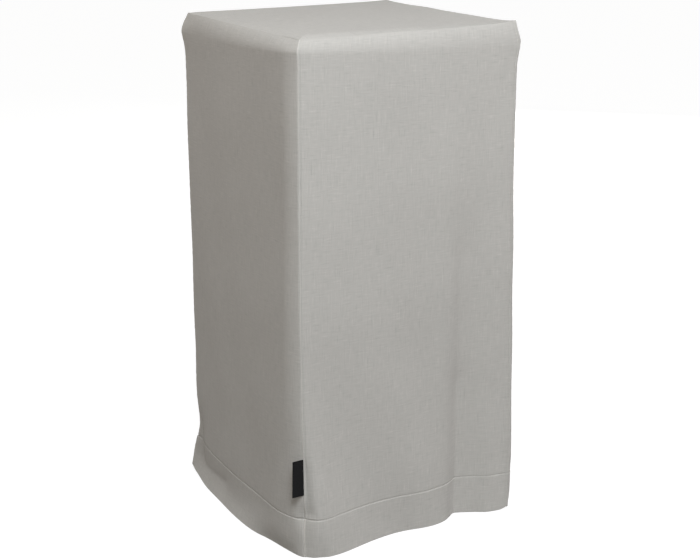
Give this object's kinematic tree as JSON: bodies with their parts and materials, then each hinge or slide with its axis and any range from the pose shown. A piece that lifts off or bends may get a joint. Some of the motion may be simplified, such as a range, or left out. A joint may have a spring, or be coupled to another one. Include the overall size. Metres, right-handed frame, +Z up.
{
  "type": "side table cover",
  "caption": "Fitted cloth cover for a tall square side table: flat top, four seamed walls hanging in soft folds to a stitched hem, a bare woven side label.",
  "frame": {"origin": "on the floor under the middle of the cover", "axes": "+Z up, -Y out of the broad front wall, -X out of the left wall that carries the label"},
  "size_m": [0.3268, 0.3327, 0.612],
  "materials": {
    "cover_cloth": "matte, fine linen-like plain weave with slubs",
    "label_weave": "black ribbed woven tape"
  },
  "bodies": {
    "root": {"top_panel": "cover_cloth", "front_panel": "cover_cloth", "right_panel": "cover_cloth", "back_panel": "cover_cloth", "left_panel": "cover_cloth", "label": "label_weave"}
  },
  "joints": []
}
